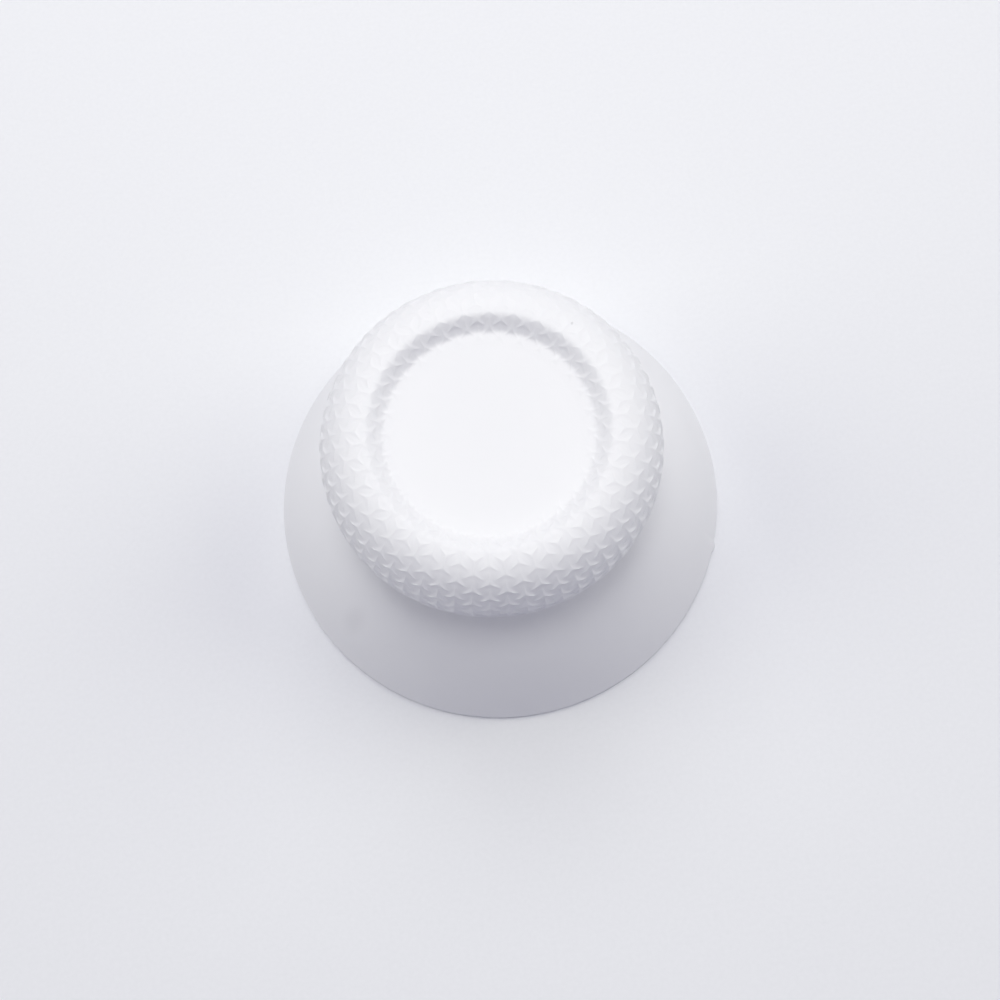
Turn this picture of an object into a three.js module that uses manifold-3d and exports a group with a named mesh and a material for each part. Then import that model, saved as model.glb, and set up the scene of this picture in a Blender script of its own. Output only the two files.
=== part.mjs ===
// Thumb grip of a game controller's analogue stick, moulded in one piece of white plastic.
// Millimetres, +Z up. The origin is the middle of the foot circle, on the surface it stands on.
import * as THREE from 'three';
import { mergeVertices } from 'three/addons/utils/BufferGeometryUtils.js';
import Module from 'manifold-3d';

// Skirt: a thin dome that hides the stick's ball joint, on a ball a little wider than its foot
const skirtDiameter = 25.4;
const domeMargin = 1.5;
const skirtWall = 1.1;
const edgeBand = 0.3;

// Waist between the dome and the rim
const neckDiameter = 9.4;
const neckDomeFillet = 1.0;
const neckRimFillet = 0.8;

// Rim: the round textured ring under the thumb
const crestHeight = 14.43;
const crestDiameter = 12.62;
const crestBendRadius = 0.65;
const shoulderRadius = 2.45;
const shoulderTurn = 65;
const sideRadius = 3.4;
const sideTurn = 36;
const lipRadius = 0.8;

// Dish: a wall from the crest in to the dish's edge, a small fillet and a nearly flat bowl
const dishInset = 0.92;
const dishWallSlope = 40;
const dishEdgeSlope = 12;
const dishBowlSlope = 3;
const dishFilletRadius = 5;

// Raised three-pointed stars in staggered rows, which turn over just outside the crest
const starsPerRow = 30;
const rowPitch = 0.46;
const patternTurn = 4;
const foldAngle = 11.7;
const foldGap = 0.09;
const starHeight = 0.11;
const armReach = 0.62;
const armMiddle = 0.3;
const armSag = 0.015;
const notchReach = 0.14;
const borderGap = 0.07;
const shortestArm = 0.04;

// Boss and socket for the stick's flattened shaft
const bossDiameter = 6;
const bossRecess = 1.2;
const socketDiameter = 4;
const socketFlats = 3;
const socketDepth = 5.6;

// Steps of the round stretches
const dishFilletSteps = 2;
const dishBowlSteps = 3;
const lipSteps = 4;
const filletSteps = 3;
const domeSteps = 7;
const innerDomeSteps = 4;
const socketSteps = 8;

const skirtRadius = skirtDiameter / 2;
const domeRadius = skirtRadius + domeMargin;
const neckRadius = neckDiameter / 2;
const crestRadius = crestDiameter / 2;
const dishRadius = crestRadius - dishInset;
const bossRadius = bossDiameter / 2;
const socketRadius = socketDiameter / 2;
const starStep = 360 / starsPerRow;
const ringSteps = starsPerRow * 2;

const rad = THREE.MathUtils.degToRad;

// The rim's section is a walk from the dish edge over the crest and down the side.
// Each stretch is straight, or turns downwards round its radius.
const wallRun = (dishInset - crestBendRadius * Math.sin(rad(dishWallSlope)))
  / Math.cos(rad(dishWallSlope));
const rimStretches = [
  { length: wallRun, radius: Infinity },
  { length: crestBendRadius * rad(dishWallSlope), radius: crestBendRadius },
  { length: shoulderRadius * rad(shoulderTurn), radius: shoulderRadius },
  { length: sideRadius * rad(sideTurn), radius: sideRadius },
];
const rimLength = rimStretches.reduce((sum, stretch) => sum + stretch.length, 0);
const crestAlong = rimStretches[0].length + rimStretches[1].length;
const foldAlong = crestAlong + shoulderRadius * rad(foldAngle);
const dishEdgeHeight = crestHeight - wallRun * Math.sin(rad(dishWallSlope))
  - crestBendRadius * (1 - Math.cos(rad(dishWallSlope)));

// Point and outward normal of the rim's section at a distance along the walk
function rimSection(along) {
  let r = dishRadius;
  let z = dishEdgeHeight;
  let heading = rad(dishWallSlope);
  let left = along;
  for (const { length, radius } of rimStretches) {
    const step = Math.min(left, length);
    const next = heading - step / radius;
    if (radius === Infinity) {
      r += step * Math.cos(heading);
      z += step * Math.sin(heading);
    } else {
      r += radius * (Math.sin(heading) - Math.sin(next));
      z += radius * (Math.cos(next) - Math.cos(heading));
    }
    heading = next;
    left -= step;
    if (left <= 0) break;
  }
  return { r, z, nr: -Math.sin(heading), nz: Math.cos(heading) };
}

// Corners of the whole surface's triangles, three numbers each
const corners = [];

function place(r, z, turn) {
  const angle = rad((turn + 360) % 360);
  return [r * Math.cos(angle), r * Math.sin(angle), z];
}

// A rim spot is a turn round the axis, a distance along the section and a depth under the crests
function rimPoint({ turn, along, depth }) {
  const { r, z, nr, nz } = rimSection(along);
  return place(r - nr * depth, z - nz * depth, turn);
}

// Adds a triangle between three rim spots, wound so that it faces out
function addRimFacet(a, b, c) {
  const side = (b.turn - a.turn) * (c.along - a.along) - (b.along - a.along) * (c.turn - a.turn);
  if (side === 0) return;
  const [second, third] = side > 0 ? [c, b] : [b, c];
  corners.push(...rimPoint(a), ...rimPoint(second), ...rimPoint(third));
}

// Each other row is set over by half a step; row 0 lies next to the fold
function isSetOver(outward, row) {
  return (row % 2 === 0) === outward;
}

// The columns of the next row's stars to the right and to the left
function nextColumns(outward, row, column) {
  return isSetOver(outward, row) ? [column + 1, column] : [column, column - 1];
}

// Arms reach towards the next row's star on the right, the one on the left, and two rows back
const armWays = [[0.5, 1], [-0.5, 1], [0, -2]];
const rightArm = 0;
const leftArm = 1;
const backArm = 2;

// Length of a family's band from the fold to its border, and the rows that fit in it
function bandRoom(outward) {
  return (outward ? rimLength - foldAlong : foldAlong) - borderGap;
}

function countRows(outward) {
  return 1 + Math.floor((bandRoom(outward) - foldGap - shortestArm) / rowPitch);
}

// One star of the outer or the inner family. The last row's arms are squeezed inside the border,
// and past that row a star shrinks to a spot on the border.
function makeStar(outward, row, column) {
  const sense = outward ? 1 : -1;
  const turn = patternTurn + (column + (isSetOver(outward, row) ? 0.5 : 0)) * starStep;
  if (row >= countRows(outward)) {
    const spot = { turn, along: outward ? rimLength : 0, depth: 0 };
    return { middle: spot, tips: [spot, spot, spot], notches: [spot, spot, spot] };
  }
  const away = foldGap + row * rowPitch;
  const squeeze = Math.min(1, (bandRoom(outward) - away) / (armReach * rowPitch));
  const spots = (reach, depth) => armWays.map(([x, y]) => {
    const shift = y * reach * rowPitch;
    return {
      turn: turn + x * reach * starStep,
      along: foldAlong + sense * (away + (shift > 0 ? shift * squeeze : shift)),
      depth,
    };
  });
  return {
    middle: { turn, along: foldAlong + sense * away, depth: 0 },
    ridges: spots(armMiddle, armSag),
    tips: spots(armReach, starHeight),
    notches: spots(-notchReach, starHeight),
  };
}

// An arm has two flanks that meet in a ridge; each flank ends in the notch on its side
function addArm(star, arm) {
  for (const side of [rightArm, leftArm, backArm]) {
    if (side === arm) continue;
    addRimFacet(star.middle, star.ridges[arm], star.notches[side]);
    addRimFacet(star.ridges[arm], star.tips[arm], star.notches[side]);
  }
}

// Sunken triangle between a star, its neighbour on one side in the next row, and the star beyond
function addHollow(star, beside, beyond, outArm, inArm) {
  const near = star.notches[backArm];
  const middle = beside.notches[outArm];
  const far = beyond.notches[inArm];
  addRimFacet(near, middle, far);
  addRimFacet(near, star.tips[outArm], middle);
  addRimFacet(middle, beside.tips[inArm], far);
  addRimFacet(far, beyond.tips[backArm], near);
}

function addFamily(outward) {
  for (let row = 0; row < countRows(outward); row += 1) {
    for (let column = 0; column < starsPerRow; column += 1) {
      const star = makeStar(outward, row, column);
      const beyond = makeStar(outward, row + 2, column);
      const [toRight, toLeft] = nextColumns(outward, row, column);
      addArm(star, rightArm);
      addArm(star, leftArm);
      if (row > 1) addArm(star, backArm);
      addHollow(star, makeStar(outward, row + 1, toRight), beyond, rightArm, leftArm);
      addHollow(star, makeStar(outward, row + 1, toLeft), beyond, leftArm, rightArm);
    }
  }
}

// At the fold the back arms of facing stars are one bar
function addBar(outer, inner) {
  for (const side of [rightArm, leftArm]) {
    addRimFacet(outer.middle, inner.middle, inner.notches[side]);
    addRimFacet(outer.middle, inner.notches[side], outer.notches[side]);
  }
}

// Slanting groove at the fold, between one bar and the next
function addGroove(outer, inner, nextOuter, nextInner, toNext, toHere) {
  const start = outer.notches[toHere];
  const bend = inner.notches[toHere];
  const end = nextInner.notches[toNext];
  const nextBend = nextOuter.notches[toNext];
  addRimFacet(start, bend, nextOuter.tips[toHere]);
  addRimFacet(bend, nextBend, nextOuter.tips[toHere]);
  addRimFacet(bend, inner.tips[toNext], nextBend);
  addRimFacet(inner.tips[toNext], end, nextBend);
}

function addFold() {
  for (let column = 0; column < starsPerRow; column += 1) {
    const outer = makeStar(true, 1, column);
    const inner = makeStar(false, 0, column);
    const [right, left] = [column, column - 1];
    const outerSide = [makeStar(true, 0, right), makeStar(true, 0, left)];
    const innerSide = [makeStar(false, 1, right), makeStar(false, 1, left)];
    addBar(outer, inner);
    addBar(outerSide[rightArm], innerSide[rightArm]);
    addGroove(outer, inner, outerSide[rightArm], innerSide[rightArm], rightArm, leftArm);
    addGroove(outer, inner, outerSide[leftArm], innerSide[leftArm], leftArm, rightArm);
  }
}

// Points on an arc of the section, without its first one
function arc(r, z, radius, from, to, steps) {
  const points = [];
  for (let i = 1; i <= steps; i += 1) {
    const angle = from + (to - from) * i / steps;
    points.push([r + radius * Math.cos(angle), z + radius * Math.sin(angle)]);
  }
  return points;
}

// Section of the dish, from the axis out to its edge
function dishOutline() {
  const bowlRadius = (dishRadius - dishFilletRadius
    * (Math.sin(rad(dishEdgeSlope)) - Math.sin(rad(dishBowlSlope)))) / Math.sin(rad(dishBowlSlope));
  const filletRise = dishFilletRadius * (Math.cos(rad(dishBowlSlope)) - Math.cos(rad(dishEdgeSlope)));
  const bowlRise = bowlRadius * (1 - Math.cos(rad(dishBowlSlope)));
  const floor = dishEdgeHeight - filletRise - bowlRise;
  const filletR = dishRadius - dishFilletRadius * Math.sin(rad(dishEdgeSlope));
  const filletZ = dishEdgeHeight + dishFilletRadius * Math.cos(rad(dishEdgeSlope));
  const down = -Math.PI / 2;
  return [
    [0, floor],
    ...arc(0, floor + bowlRadius, bowlRadius, down, down + rad(dishBowlSlope), dishBowlSteps),
    ...arc(filletR, filletZ, dishFilletRadius, down + rad(dishBowlSlope),
      down + rad(dishEdgeSlope), dishFilletSteps).slice(0, -1),
    [dishRadius, dishEdgeHeight],
  ];
}

// Section from the rim's lower end round the waist, the skirt and the inside to the boss
function bodyOutline() {
  const rimEnd = rimSection(rimLength);
  const lipR = rimEnd.r - lipRadius * rimEnd.nr;
  const lipZ = rimEnd.z - lipRadius * rimEnd.nz;
  const underside = lipZ - lipRadius;
  const domeZ = edgeBand - Math.sqrt(domeRadius ** 2 - skirtRadius ** 2);
  const neckLength = underside - domeZ - Math.sqrt(domeRadius ** 2 - neckRadius ** 2);
  const rimFillet = Math.min(neckRimFillet, neckLength / 2);
  const domeFillet = Math.min(neckDomeFillet, neckLength / 2);
  const waistR = neckRadius + domeFillet;
  const waistZ = domeZ + Math.sqrt((domeRadius + domeFillet) ** 2 - waistR ** 2);
  const domeTop = Math.atan2(waistZ - domeZ, waistR);
  const hollowRadius = domeRadius - skirtWall;
  return [
    [rimEnd.r, rimEnd.z],
    ...arc(lipR, lipZ, lipRadius, Math.atan2(rimEnd.nz, rimEnd.nr), -Math.PI / 2, lipSteps),
    [neckRadius + rimFillet, underside],
    ...arc(neckRadius + rimFillet, underside - rimFillet, rimFillet,
      Math.PI / 2, Math.PI, filletSteps),
    [neckRadius, waistZ],
    ...arc(waistR, waistZ, domeFillet, Math.PI, Math.PI + domeTop, filletSteps),
    ...arc(0, domeZ, domeRadius, domeTop, Math.acos(skirtRadius / domeRadius), domeSteps),
    [skirtRadius, 0],
    [Math.sqrt(hollowRadius ** 2 - domeZ ** 2), 0],
    ...arc(0, domeZ, hollowRadius, Math.asin(-domeZ / hollowRadius),
      Math.acos(bossRadius / hollowRadius), innerDomeSteps),
    [bossRadius, bossRecess],
    [0, bossRecess],
  ];
}

// Turns a stretch of the section round the axis; an end on the axis closes in a fan
function addTurned(outline) {
  for (let i = 0; i + 1 < outline.length; i += 1) {
    const [from, to] = [outline[i], outline[i + 1]];
    for (let step = 0; step < ringSteps; step += 1) {
      const turn = patternTurn + step * starStep / 2;
      const nextTurn = patternTurn + (step + 1) * starStep / 2;
      const here = place(...from, turn);
      const there = place(...to, turn);
      const hereNext = place(...from, nextTurn);
      const thereNext = place(...to, nextTurn);
      if (from[0] > 0) corners.push(...here, ...there, ...hereNext);
      if (to[0] > 0) corners.push(...hereNext, ...there, ...thereNext);
    }
  }
}

// The socket is round with two flats across X, blind at its upper end
function makeSocketCutter() {
  const flat = socketFlats / 2;
  const corner = Math.acos(flat / socketRadius);
  const outline = new THREE.Shape();
  outline.absarc(0, 0, socketRadius, corner, Math.PI - corner);
  outline.absarc(0, 0, socketRadius, Math.PI + corner, 2 * Math.PI - corner);
  outline.closePath();
  return new THREE.ExtrudeGeometry(outline, {
    depth: bossRecess + socketDepth,
    curveSegments: socketSteps,
    bevelEnabled: false,
  });
}

const wasm = await Module();
wasm.setup();

// Joins a triangle surface at its shared corners and reads it as a closed solid
function toSolid(geometry) {
  geometry.deleteAttribute('normal');
  geometry.deleteAttribute('uv');
  const merged = mergeVertices(geometry, 1e-5);
  const vertProperties = merged.getAttribute('position').array;
  const triVerts = Uint32Array.from(merged.getIndex().array);
  return new wasm.Manifold(new wasm.Mesh({ numProp: 3, vertProperties, triVerts }));
}

function toGeometry(solid) {
  const { vertProperties, triVerts } = solid.getMesh();
  const geometry = new THREE.BufferGeometry();
  geometry.setAttribute('position', new THREE.BufferAttribute(vertProperties, 3));
  geometry.setIndex(new THREE.BufferAttribute(triVerts, 1));
  geometry.computeVertexNormals();
  return geometry;
}

function makeGripGeometry() {
  addTurned(dishOutline());
  addFamily(false);
  addFold();
  addFamily(true);
  addTurned(bodyOutline());
  const surface = new THREE.BufferGeometry();
  surface.setAttribute('position', new THREE.Float32BufferAttribute(corners, 3));
  return toGeometry(toSolid(surface).subtract(toSolid(makeSocketCutter())));
}

const whitePlastic = new THREE.MeshStandardMaterial({
  color: 0xe9eaf0,
  roughness: 0.55,
  metalness: 0,
  flatShading: true,
});

const grip = new THREE.Mesh(makeGripGeometry(), whitePlastic);
grip.name = 'thumb_grip';

const group = new THREE.Group();
group.add(grip);

export default group;
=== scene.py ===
import math

import bpy
import numpy as np
from mathutils import Matrix, Vector


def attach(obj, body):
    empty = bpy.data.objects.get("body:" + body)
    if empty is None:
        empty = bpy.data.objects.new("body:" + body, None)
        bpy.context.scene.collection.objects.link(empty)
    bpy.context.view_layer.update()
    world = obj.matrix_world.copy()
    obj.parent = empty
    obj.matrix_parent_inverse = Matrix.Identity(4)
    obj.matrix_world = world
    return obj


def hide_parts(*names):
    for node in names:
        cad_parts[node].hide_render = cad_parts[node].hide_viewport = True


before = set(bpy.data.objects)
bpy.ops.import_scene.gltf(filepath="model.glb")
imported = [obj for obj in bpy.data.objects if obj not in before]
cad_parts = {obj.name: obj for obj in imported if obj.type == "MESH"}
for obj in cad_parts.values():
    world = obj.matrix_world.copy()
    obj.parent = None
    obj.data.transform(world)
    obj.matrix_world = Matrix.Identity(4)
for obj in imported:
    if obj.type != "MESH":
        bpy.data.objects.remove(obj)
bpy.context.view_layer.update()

# The top of the grip is a dish inside a rounded rim, part of one injection moulding in white
# plastic. Its section is walked from the axis outwards in millimetres: bowl, fillets, wall,
# crest, shoulder and side, each a length and a radius that is negative where it turns up.

crest_height = 14.43
crest_radius = 6.31
dish_inset = 0.92
dish_bowl_slope = math.radians(3)
dish_fillet_radius = 5.0
dish_edge_slope = math.radians(12)
dish_edge_fillet = 0.3
dish_wall_slope = math.radians(40)
crest_bend_radius = 0.65
shoulder_radius = 2.45
shoulder_turn = math.radians(65)
side_radius = 3.4
side_turn = math.radians(36)

wall_length = (
    (dish_inset - crest_bend_radius * math.sin(dish_wall_slope)) / math.cos(dish_wall_slope)
    - dish_edge_fillet * math.tan((dish_wall_slope - dish_edge_slope) / 2)
)
bowl_reach = (
    crest_radius
    - dish_fillet_radius * (math.sin(dish_edge_slope) - math.sin(dish_bowl_slope))
    - dish_edge_fillet * (math.sin(dish_wall_slope) - math.sin(dish_edge_slope))
    - wall_length * math.cos(dish_wall_slope)
    - crest_bend_radius * math.sin(dish_wall_slope)
)
bowl_radius = bowl_reach / math.sin(dish_bowl_slope)
top_stretches = [
    (bowl_radius * dish_bowl_slope, -bowl_radius),
    (dish_fillet_radius * (dish_edge_slope - dish_bowl_slope), -dish_fillet_radius),
    (dish_edge_fillet * (dish_wall_slope - dish_edge_slope), -dish_edge_fillet),
    (wall_length, math.inf),
    (crest_bend_radius * dish_wall_slope, crest_bend_radius),
    (shoulder_radius * shoulder_turn, shoulder_radius),
    (side_radius * side_turn, side_radius),
]
crest_along = sum(length for length, radius in top_stretches[:5])
rim_end_along = sum(length for length, radius in top_stretches)


def walk_section(along):
    """Radius, height over the bowl's middle and slope at distances along the top's section."""
    r = np.zeros_like(along)
    z = np.zeros_like(along)
    slope = np.zeros_like(along)
    remaining = np.array(along)
    for length, radius in top_stretches:
        step = np.clip(remaining, 0, length)
        if math.isinf(radius):
            r += step * np.cos(slope)
            z += step * np.sin(slope)
        else:
            turned = slope - step / radius
            r += radius * (np.sin(slope) - np.sin(turned))
            z += radius * (np.cos(turned) - np.cos(slope))
            slope = turned
        remaining = remaining - step
    return r, z, slope


bowl_height = crest_height - float(walk_section(np.array([crest_along]))[1][0])


def top_section(along, depth):
    """Radius and height a depth under the top's surface."""
    r, z, slope = walk_section(along)
    return r + depth * np.sin(slope), bowl_height + z - depth * np.cos(slope)


# The rim's grip is a texture cut into the mould: three-pointed stars in staggered rows of thirty,
# with thin sharp ridges and rounded hollows between. They turn over just outside the crest. The
# last inner row fades out on the dish's border, and a plain bead ends them at the rim's lower end.

stars_per_row = 30
star_step = 360 / stars_per_row
row_pitch = 0.46
pattern_turn = 4.0
fold_along = crest_along + shoulder_radius * math.radians(11.7)
fold_gap = 0.09
outer_rows = 10
inner_rows = 5
inner_border = crest_along - 2.0
fade_start = crest_along - 1.75
fade_end = crest_along - 1.0
bead_start = rim_end_along - 0.32
bead_end = rim_end_along - 0.16
bead_middle = rim_end_along - 0.12
bead_half_width = 0.12
bead_rise = 0.035
crest_depth = 0.024
side_depth = 0.08
wall_depth = 0.038
deepen_start = crest_along + 0.9
deepen_end = crest_along + 3.2
wall_start = crest_along
wall_end = crest_along - 0.6
ridge_reach = 0.64
ridge_droop = 2.7
flank_width = 0.26
flank_taper = 0.78
flank_curve = 2.0
cell_steps = 12
edge_draw = 0.6
places_per_degree = 10000
places_per_mm = 100000

# Each arm of a star: its way in columns and rows, and its height
arm_ways = [(0.5, 1, 1), (-0.5, 1, 1), (0, -2, 0.6)]


def star_place(sense, row, column):
    """Turn and distance along the section of a star's middle, or of the border past the rows."""
    set_over = (row % 2 == 0) == (sense > 0)
    turn = pattern_turn + (column + (0.5 if set_over else 0)) * star_step
    rows, border = (outer_rows, rim_end_along) if sense > 0 else (inner_rows, inner_border)
    return turn, border if row >= rows else fold_along + sense * (fold_gap + row * row_pitch)


def wedge_cells():
    """Triangles between the stars of one column, each as the places of its three corners."""
    cells = []
    for sense, rows in ((1, outer_rows), (-1, inner_rows)):
        for row in range(rows):
            set_over = (row % 2 == 0) == (sense > 0)
            here = star_place(sense, row, 0)
            beyond = star_place(sense, row + 2, 0)
            for column in (1, 0) if set_over else (0, -1):
                cells.append((here, star_place(sense, row + 1, column), beyond))
    outer = star_place(1, 1, 0)
    inner = star_place(-1, 0, 0)
    for column in (0, -1):
        far_inner = star_place(-1, 1, column)
        cells.append((outer, far_inner, star_place(1, 0, column)))
        cells.append((outer, inner, far_inner))
    return cells


def fill_cell(cell):
    """Grid of places in a cell, drawn in towards its edges, where the ridges lie."""
    corners = [(a, b) for a in range(cell_steps + 1) for b in range(cell_steps + 1 - a)]
    number = {corner: i for i, corner in enumerate(corners)}
    weights = np.array([(a, b, cell_steps - a - b) for a, b in corners]) / cell_steps
    inward = 3 * weights.min(axis=1, keepdims=True)
    drawn = (1 - edge_draw) * inward + edge_draw * inward ** 2
    spread = np.where(inward < 1, (1 - drawn) / np.maximum(1 - inward, 1e-9), 0)
    grid = (1 / 3 + (weights - 1 / 3) * spread) @ np.array(cell)
    triangles = []
    for a, b in corners:
        if a + b < cell_steps:
            triangles.append((number[a, b], number[a + 1, b], number[a, b + 1]))
        if a + b < cell_steps - 1:
            triangles.append((number[a + 1, b], number[a + 1, b + 1], number[a, b + 1]))
    triangles = np.array(triangles)
    (ax, ay), (bx, by), (cx, cy) = cell
    faces_in = (bx - ax) * (cy - ay) > (by - ay) * (cx - ax)
    return grid, triangles[:, ::-1] if faces_in else triangles


def star_relief(turn, along):
    """Height of the stars, from 0 in a hollow to 1 on a ridge."""
    mm_per_degree = np.radians(1) * walk_section(along)[0]
    open_share = np.ones(len(turn))
    for sense, rows in ((1, outer_rows), (-1, inner_rows)):
        for row in range(rows):
            for column in range(-2, 3):
                star_turn, star_along = star_place(sense, row, column)
                x = (turn - star_turn) * mm_per_degree
                y = along - star_along
                for way_x, way_y, height in arm_ways:
                    arm_x = ridge_reach * way_x * star_step * mm_per_degree
                    arm_y = ridge_reach * sense * way_y * row_pitch
                    reach = np.clip((x * arm_x + y * arm_y) / (arm_x ** 2 + arm_y ** 2), 0, 1)
                    off = np.hypot(x - reach * arm_x, y - reach * arm_y)
                    flank = np.clip(1 - off / (flank_width * (1 - flank_taper * reach)), 0, 1)
                    open_share *= 1 - height * (1 - reach ** ridge_droop) * flank ** flank_curve
    return 1 - open_share


def eased(along, start, end):
    """Share of the way from start to end, from 0 to 1 with soft ends."""
    share = np.clip((along - start) / (end - start), 0, 1)
    return share ** 2 * (3 - 2 * share)


def hollow_depths(along):
    """Depth of the hollows: slight on the crest, more on side and wall, none at both ends."""
    depth = (
        crest_depth
        + (side_depth - crest_depth) * eased(along, deepen_start, deepen_end)
        + (wall_depth - crest_depth) * eased(along, wall_start, wall_end)
    )
    return depth * eased(along, fade_start, fade_end) * eased(along, bead_end, bead_start)


def bead_heights(along):
    """How far the bead at the rim's lower end stands out."""
    across = np.clip(np.abs(along - bead_middle) / bead_half_width, 0, 1)
    return bead_rise * (1 - across ** 2) ** 2


filled = [fill_cell(cell) for cell in wedge_cells()]
grid_size = len(filled[0][0])
wedge = np.concatenate([grid for grid, triangles in filled])
wedge_triangles = np.concatenate([filled[i][1] + i * grid_size for i in range(len(filled))])
wedge_depths = (
    hollow_depths(wedge[:, 1]) * (1 - star_relief(wedge[:, 0], wedge[:, 1]))
    - bead_heights(wedge[:, 1])
)
turns = np.concatenate([wedge[:, 0] + i * star_step for i in range(stars_per_row)]) % 360
alongs = np.tile(wedge[:, 1], stars_per_row)
depths = np.tile(wedge_depths, stars_per_row)
triangles = np.concatenate([wedge_triangles + i * len(wedge) for i in range(stars_per_row)])

# Cells share the places on their edges, to a ten-thousandth of a degree
keys = np.stack([
    np.round(turns * places_per_degree) % (360 * places_per_degree), np.round(alongs * places_per_mm),
], axis=1)
kept, number = np.unique(keys, axis=0, return_index=True, return_inverse=True)[1:]
rim_faces = number.reshape(-1)[triangles].tolist()
rim_turns = turns[kept]
rim_alongs = alongs[kept]
rim_r, rim_z = top_section(rim_alongs, depths[kept])
rim_points = np.stack([
    rim_r * np.cos(np.radians(rim_turns)), rim_r * np.sin(np.radians(rim_turns)), rim_z,
], axis=1)

# The plain surfaces are turned: the dish inside the stars, and outside them the rim's lip, the
# waist, the thin domed skirt with its upright edge, and the inside, where a boss holds the blind
# socket that pushes onto the stick's shaft.

lip_radius = 0.8
neck_radius = 4.7
neck_rim_fillet = 0.8
neck_dome_fillet = 1.0
skirt_radius = 12.7
dome_radius = 14.2
dome_stop = math.radians(0.3)
edge_band = 0.3
edge_rounding = 0.08
hollow_start = 1.5 * edge_rounding
skirt_wall = 1.1
boss_radius = 3.0
boss_recess = 1.2
boss_rounding = 0.2
socket_radius = 2.0
socket_half_flats = 1.5
socket_depth = 5.6
socket_mouth = 0.15
ring_step = 2.0
fine_step = star_step / 2 / cell_steps
dish_steps = 12
underside_steps = 4
band_steps = 3
boss_steps = 4
arc_step = math.radians(4)
small_arc_step = math.radians(10)
small_arc = 0.9
sharp_turn = math.radians(50)
mm = 0.001
down, up, left, right = -math.pi / 2, math.pi / 2, math.pi, 0.0

# Gate mark on the foot's edge, where the moulding was snapped off its runner
gate_turn = 338.6
gate_half_turn = 1.3
gate_height = 0.12
gate_flatness = 1.6
gate_taper = 1.5
chip_turn = 340.6
chip_half_turn = 0.6
chip_depth = 0.1
gate_fade = 0.8
gate_rings_start = 336
gate_rings = 15


def arc(centre_r, centre_z, radius, start, end):
    """Points round an arc of the section, both ends included."""
    step = small_arc_step if radius < small_arc else arc_step
    steps = max(2, math.ceil(abs(end - start) / step))
    angles = np.linspace(start, end, steps + 1)
    return [(centre_r + radius * math.cos(a), centre_z + radius * math.sin(a)) for a in angles]


def line(start, end, steps):
    """Points between two points of the section, both ends left out."""
    return [
        (start[0] + (end[0] - start[0]) * i / steps, start[1] + (end[1] - start[1]) * i / steps)
        for i in range(1, steps)
    ]


end_r, end_z, end_slope = (float(value[0]) for value in walk_section(np.array([rim_end_along])))
lip_r = end_r + lip_radius * math.sin(end_slope)
lip_z = bowl_height + end_z - lip_radius * math.cos(end_slope)
underside = lip_z - lip_radius
dome_z = edge_band - math.sqrt(dome_radius ** 2 - skirt_radius ** 2)
waist_r = neck_radius + neck_dome_fillet
waist_z = dome_z + math.sqrt((dome_radius + neck_dome_fillet) ** 2 - waist_r ** 2)
dome_top = math.atan2(waist_z - dome_z, waist_r)
dome_foot = math.acos(skirt_radius / dome_radius)
hollow_radius = dome_radius - skirt_wall
hollow_r = math.sqrt(hollow_radius ** 2 - dome_z ** 2)
hollow_foot = math.asin((hollow_start - dome_z) / hollow_radius)
boss_root = math.acos(boss_radius / hollow_radius)
boss_root_z = dome_z + hollow_radius * math.sin(boss_root)
socket_top = boss_recess + socket_depth

outline = (
    arc(lip_r, lip_z, lip_radius, up + end_slope, down)[1:]
    + line((lip_r, underside), (neck_radius + neck_rim_fillet, underside), underside_steps)
    + arc(neck_radius + neck_rim_fillet, underside - neck_rim_fillet, neck_rim_fillet, up, left)
    + arc(waist_r, waist_z, neck_dome_fillet, left, left + dome_top)
    + arc(0, dome_z, dome_radius, dome_top, dome_foot + dome_stop)[1:]
    + arc(skirt_radius - edge_rounding, edge_band, edge_rounding, dome_foot, right)
    + line((skirt_radius, edge_band), (skirt_radius, edge_rounding), band_steps)
    + arc(skirt_radius - edge_rounding, edge_rounding, edge_rounding, right, down)
    + arc(hollow_r + edge_rounding, edge_rounding, edge_rounding, down, -left)
    + arc(0, dome_z, hollow_radius, hollow_foot, boss_root)
    + line((boss_radius, boss_root_z), (boss_radius, boss_recess + boss_rounding), boss_steps)
    + arc(boss_radius - boss_rounding, boss_recess + boss_rounding, boss_rounding, right, down)
)


def gate_mark(turn, r, z):
    """How far the foot's edge stands out at a turn: a flat stub with a chip beside it."""
    if r < skirt_radius - gate_fade or z > gate_fade:
        return 0
    stub = min(1, max(0, gate_flatness * (1 - ((turn - gate_turn) / gate_half_turn) ** 2)))
    chip = max(0, 1 - ((turn - chip_turn) / chip_half_turn) ** 2)
    return (stub * gate_height - chip * chip_depth) * (1 - z / gate_fade) ** gate_taper


def socket_reach(turn, margin):
    """Radius of the socket's outline, round with a flat across each side of X."""
    across = abs(math.cos(math.radians(turn)))
    return min(socket_radius, socket_half_flats / max(across, 1e-6)) + margin


points = rim_points.tolist()
faces = rim_faces
near_gate = {round(gate_rings_start + i * fine_step, 6) for i in range(gate_rings)}
all_round = {round((pattern_turn + i * ring_step) % 360, 6) for i in range(round(360 / ring_step))}
ring_turns = sorted(all_round | near_gate)


def add_ring(radii, z):
    """A ring of points round the axis; its numbers."""
    start = len(points)
    for turn, r in zip(ring_turns, radii):
        points.append((r * math.cos(math.radians(turn)), r * math.sin(math.radians(turn)), z))
    return list(range(start, len(points)))


def join_rings(before, after):
    """Faces between two rings of the same count, facing out along the section's walk."""
    for i in range(len(before)):
        j = (i + 1) % len(before)
        faces.append([before[i], after[i], after[j], before[j]])


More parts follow.
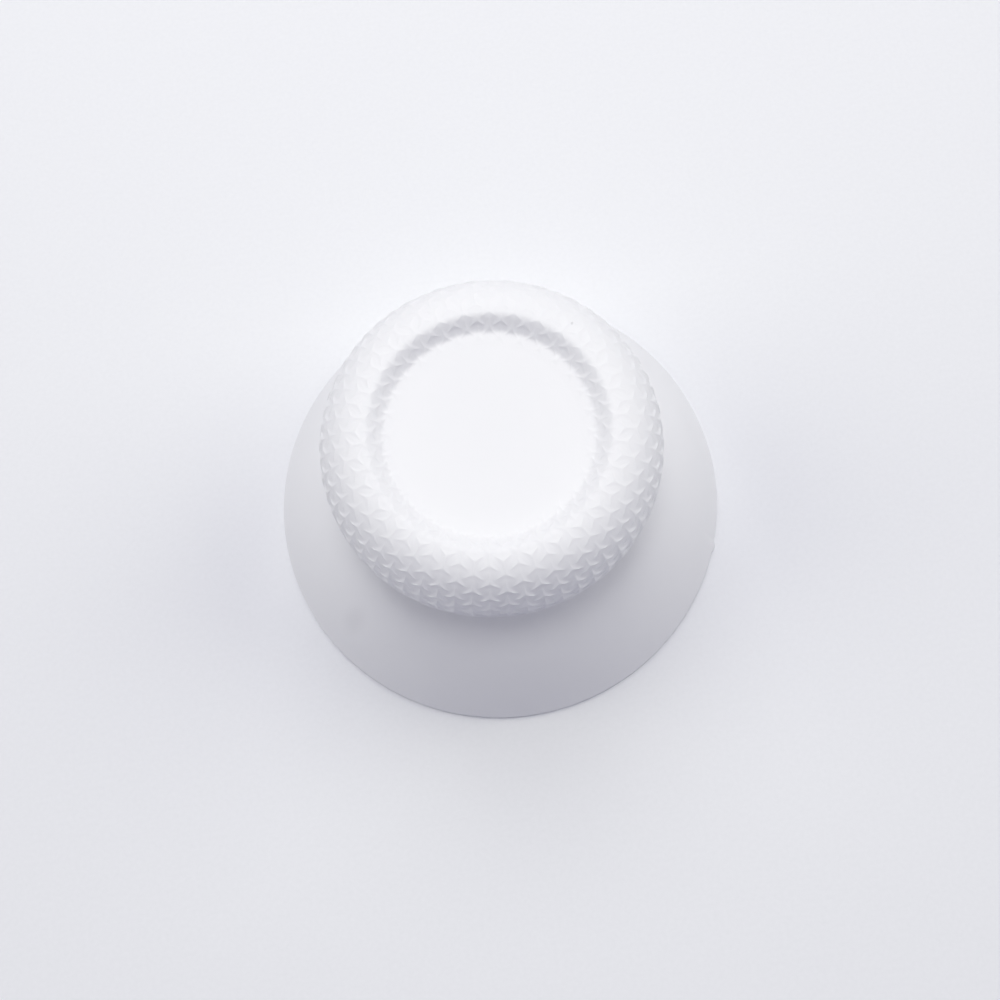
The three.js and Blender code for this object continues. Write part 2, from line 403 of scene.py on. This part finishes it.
def join_border(along, ring, ring_is_inside):
    """Faces between the stars' fine border and a coarser ring at some of its turns."""
    border = np.nonzero(np.abs(rim_alongs - along) < 1e-6)[0]
    border = border[np.argsort(rim_turns[border])].tolist()
    at = {round(float(rim_turns[i]), 4): place for place, i in enumerate(border)}
    stops = [at[round(turn, 4)] for turn in ring_turns]
    for i in range(len(ring)):
        j = (i + 1) % len(ring)
        span = (stops[j] - stops[i]) % len(border)
        fine = [border[(stops[i] + k) % len(border)] for k in range(span + 1)]
        corners = [ring[i], *fine, ring[j]]
        faces.append(corners[::-1] if ring_is_inside else corners)


# Dish
dish_alongs = np.linspace(0, inner_border, dish_steps + 1)[1:-1]
dish_r, dish_z = top_section(dish_alongs, 0)
dish_rings = [add_ring([r] * len(ring_turns), z) for r, z in zip(dish_r, dish_z)]
middle = len(points)
points.append((0, 0, bowl_height))
for i in range(len(ring_turns)):
    faces.append([middle, dish_rings[0][i], dish_rings[0][(i + 1) % len(ring_turns)]])
for before, after in zip(dish_rings, dish_rings[1:]):
    join_rings(before, after)
join_border(inner_border, dish_rings[-1], True)

# Lip to boss
rings = [add_ring([r + gate_mark(turn, r, z) for turn in ring_turns], z) for r, z in outline]
for margin, z in (
    (socket_mouth, boss_recess), (0, boss_recess + socket_mouth), (0, socket_top),
):
    rings.append(add_ring([socket_reach(turn, margin) for turn in ring_turns], z))
join_border(rim_end_along, rings[0], False)
for before, after in zip(rings, rings[1:]):
    join_rings(before, after)
faces.append(rings[-1])

grip_mesh = bpy.data.meshes.new("grip_moulding")
grip_mesh.from_pydata([[value * mm for value in point] for point in points], [], faces)
grip_mesh.validate()
grip_mesh.update()
grip_mesh.set_sharp_from_angle(angle=sharp_turn)
grip = bpy.data.objects.new("grip_moulding", grip_mesh)
bpy.context.collection.objects.link(grip)
for polygon in grip_mesh.polygons:
    polygon.use_smooth = True
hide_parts("thumb_grip")
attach(grip, "root")

# The plastic is white with a slight blue cast, matt from an even spark-eroded grain in the mould.
# A very faint darker oval patch lies on the skirt, and handling has left a dark speck on the rim.

plastic_colour = (0.865, 0.87, 0.892, 1)
plastic_shade = (0.845, 0.85, 0.875, 1)
plastic_roughness = 0.5
plastic_specular = 0.4
cloud_scale = 260
grain_scale = 9000
grain_strength = 0.12
grain_height = 0.00002
skirt_patch_middle = (-9.03, -6.31, 2.92)
skirt_patch_reach = (1.7, 1.0, 1.7)
skirt_patch_colour = (0.62, 0.62, 0.65, 1)
speck_middle = (4.94, 4.92, 14.34)
speck_reach = (0.12, 0.08, 0.12)
speck_colour = (0.5, 0.5, 0.52, 1)

plastic = bpy.data.materials.new("white_moulded_plastic")
plastic.use_nodes = True
nodes = plastic.node_tree.nodes
links = plastic.node_tree.links
shader = nodes["Principled BSDF"]
shader.inputs["Roughness"].default_value = plastic_roughness
shader.inputs["IOR"].default_value = 1.5
shader.inputs["Specular IOR Level"].default_value = plastic_specular

place = nodes.new("ShaderNodeTexCoord")
clouds = nodes.new("ShaderNodeTexNoise")
clouds.inputs["Scale"].default_value = cloud_scale
clouds.inputs["Detail"].default_value = 3
links.new(place.outputs["Object"], clouds.inputs["Vector"])
colour = nodes.new("ShaderNodeMix")
colour.data_type = "RGBA"
colour.inputs["A"].default_value = plastic_colour
colour.inputs["B"].default_value = plastic_shade
links.new(clouds.outputs["Fac"], colour.inputs["Factor"])


def add_mark(under, middle, tilt, turn, reach, edge, strength, mark_colour):
    """Colour with an oval mark over it, its middle and reach in millimetres, tilt and turn in degrees."""
    spot = nodes.new("ShaderNodeMapping")
    spot.vector_type = "TEXTURE"
    spot.inputs["Location"].default_value = [value * mm for value in middle]
    spot.inputs["Rotation"].default_value = (0, math.radians(tilt), math.radians(turn))
    spot.inputs["Scale"].default_value = [value * mm for value in reach]
    links.new(place.outputs["Object"], spot.inputs["Vector"])
    falloff = nodes.new("ShaderNodeTexGradient")
    falloff.gradient_type = "SPHERICAL"
    links.new(spot.outputs["Vector"], falloff.inputs["Vector"])
    share = nodes.new("ShaderNodeMapRange")
    share.interpolation_type = "SMOOTHSTEP"
    share.inputs["From Max"].default_value = edge
    share.inputs["To Max"].default_value = strength
    links.new(falloff.outputs["Fac"], share.inputs["Value"])
    mixed = nodes.new("ShaderNodeMix")
    mixed.data_type = "RGBA"
    mixed.inputs["B"].default_value = mark_colour
    links.new(share.outputs["Result"], mixed.inputs["Factor"])
    links.new(under, mixed.inputs["A"])
    return mixed.outputs["Result"]


# A very faint darker oval patch low on the skirt's front left, mixed over the plastic's colour
with_skirt_patch = add_mark(
    colour.outputs["Result"], skirt_patch_middle, tilt=48, turn=-145, reach=skirt_patch_reach,
    edge=0.9, strength=0.2, mark_colour=skirt_patch_colour,
)
speckled = add_mark(
    with_skirt_patch, speck_middle, tilt=16, turn=60, reach=speck_reach,
    edge=0.5, strength=0.4, mark_colour=speck_colour,
)
links.new(speckled, shader.inputs["Base Color"])

grain = nodes.new("ShaderNodeTexNoise")
grain.inputs["Scale"].default_value = grain_scale
grain.inputs["Detail"].default_value = 2
links.new(place.outputs["Object"], grain.inputs["Vector"])
bump = nodes.new("ShaderNodeBump")
bump.inputs["Strength"].default_value = grain_strength
bump.inputs["Distance"].default_value = grain_height
links.new(grain.outputs["Fac"], bump.inputs["Height"])
links.new(bump.outputs["Normal"], shader.inputs["Normal"])
grip_mesh.materials.append(plastic)

# The grip stands on plain pale paper, a little cooler than the plastic, with the fine grain of
# its fibres. It is cut round, and fills the whole picture.

floor_radius = 0.36
floor_corners = 120
floor_colour = (0.85, 0.86, 0.89, 1)
floor_fleck = (0.81, 0.82, 0.85, 1)
fibre_scale = 4000
paper_roughness = 0.9
paper_specular = 0.2

floor_mesh = bpy.data.meshes.new("floor")
floor_angles = [math.radians(360 / floor_corners * i) for i in range(floor_corners)]
floor_mesh.from_pydata(
    [(floor_radius * math.cos(a), floor_radius * math.sin(a), 0) for a in floor_angles], [],
    [list(range(floor_corners))],
)
floor = bpy.data.objects.new("floor", floor_mesh)
bpy.context.collection.objects.link(floor)
floor_paper = bpy.data.materials.new("pale_paper")
floor_paper.use_nodes = True
paper_nodes = floor_paper.node_tree.nodes
paper_links = floor_paper.node_tree.links
paper_shader = paper_nodes["Principled BSDF"]
paper_place = paper_nodes.new("ShaderNodeTexCoord")
fibres = paper_nodes.new("ShaderNodeTexNoise")
fibres.inputs["Scale"].default_value = fibre_scale
fibres.inputs["Detail"].default_value = 2
paper_links.new(paper_place.outputs["Object"], fibres.inputs["Vector"])
paper_colour = paper_nodes.new("ShaderNodeMix")
paper_colour.data_type = "RGBA"
paper_colour.inputs["A"].default_value = floor_colour
paper_colour.inputs["B"].default_value = floor_fleck
paper_links.new(fibres.outputs["Fac"], paper_colour.inputs["Factor"])
paper_links.new(paper_colour.outputs["Result"], paper_shader.inputs["Base Color"])
paper_shader.inputs["Roughness"].default_value = paper_roughness
paper_shader.inputs["Specular IOR Level"].default_value = paper_specular
floor_mesh.materials.append(floor_paper)

# A soft lamp stands close behind the grip, and a small one straight over it throws the rim's
# shadow on the skirt. Two wide lamps light its sides. A pale room fills the shadows with cooler
# light, and shows behind the grip in low views.


def add_lamp(name, azimuth, elevation, distance, size, power, tint):
    """A square area lamp aimed at the grip, placed by angles in degrees and a distance in metres."""
    data = bpy.data.lights.new(name, "AREA")
    data.shape = "SQUARE"
    data.size = size
    data.energy = power
    data.color = tint
    lamp = bpy.data.objects.new(name, data)
    flat = math.cos(math.radians(elevation))
    lamp.location = distance * Vector((
        flat * math.cos(math.radians(azimuth)),
        flat * math.sin(math.radians(azimuth)),
        math.sin(math.radians(elevation)),
    ))
    lamp.rotation_euler = lamp.location.to_track_quat("Z", "Y").to_euler()
    bpy.context.collection.objects.link(lamp)


add_lamp("behind", 90, 60, 0.2, 0.14, 0.172, (1.0, 1.0, 0.97))
add_lamp("overhead", 90, 90, 0.5, 0.12, 0.495, (1.0, 1.0, 0.98))
add_lamp("right", 10, 40, 0.5, 0.35, 0.837, (1.0, 1.0, 0.86))
add_lamp("left", 170, 40, 0.5, 0.35, 0.669, (1.0, 1.0, 0.84))

room_colour = (0.63, 0.6, 1.0, 1)
room_strength = 0.195
room_wall_colour = (0.84, 0.85, 0.88, 1)
world = bpy.data.worlds.new("pale_room")
world.use_nodes = True
room_nodes = world.node_tree.nodes
room_links = world.node_tree.links
room_light = room_nodes["Background"]
room_light.inputs["Color"].default_value = room_colour
room_light.inputs["Strength"].default_value = room_strength
room_look = room_nodes.new("ShaderNodeBackground")
room_look.inputs["Color"].default_value = room_wall_colour
room_look.inputs["Strength"].default_value = 1.0
ray = room_nodes.new("ShaderNodeLightPath")
room_mix = room_nodes.new("ShaderNodeMixShader")
room_links.new(ray.outputs["Is Camera Ray"], room_mix.inputs["Fac"])
room_links.new(room_light.outputs["Background"], room_mix.inputs[1])
room_links.new(room_look.outputs["Background"], room_mix.inputs[2])
room_links.new(room_mix.outputs["Shader"], room_nodes["World Output"].inputs["Surface"])
bpy.context.scene.world = world

# The camera looks steeply down on the grip from the front, turned so that the grip leans to the
# left, as in the photograph.

camera_lens = 54
camera_elevation = math.radians(75.52)
camera_distance = 0.0883
camera_roll = math.radians(-8.45)
foot_pixel = Vector((499.5, 501.2))
frame_pixels = 1000
sensor_width = 36
focal_pixels = camera_lens / sensor_width * frame_pixels

camera_place = Vector((
    0, -camera_distance * math.cos(camera_elevation), camera_distance * math.sin(camera_elevation),
))
forward = -camera_place.normalized()
across = Vector((1, 0, 0))
down_way = forward.cross(across)
turned_across = math.cos(camera_roll) * across - math.sin(camera_roll) * down_way
turned_down = math.sin(camera_roll) * across + math.cos(camera_roll) * down_way
aim = Vector((
    (foot_pixel.x - frame_pixels / 2) / focal_pixels,
    (foot_pixel.y - frame_pixels / 2) / focal_pixels,
    1,
)).normalized()
swing = Vector((0, 0, 1)).rotation_difference(aim).to_matrix()
axes = swing @ Matrix((turned_across, turned_down, forward))
camera_data = bpy.data.cameras.new("camera")
camera_data.lens = camera_lens
camera_data.sensor_width = sensor_width
camera_data.clip_start = 0.005
camera = bpy.data.objects.new("camera", camera_data)
camera_axes = Matrix((axes[0], -axes[1], -axes[2])).transposed()
camera.matrix_world = Matrix.Translation(camera_place) @ camera_axes.to_4x4()
bpy.context.collection.objects.link(camera)
bpy.context.scene.camera = camera
bpy.context.scene.view_settings.view_transform = "Standard"
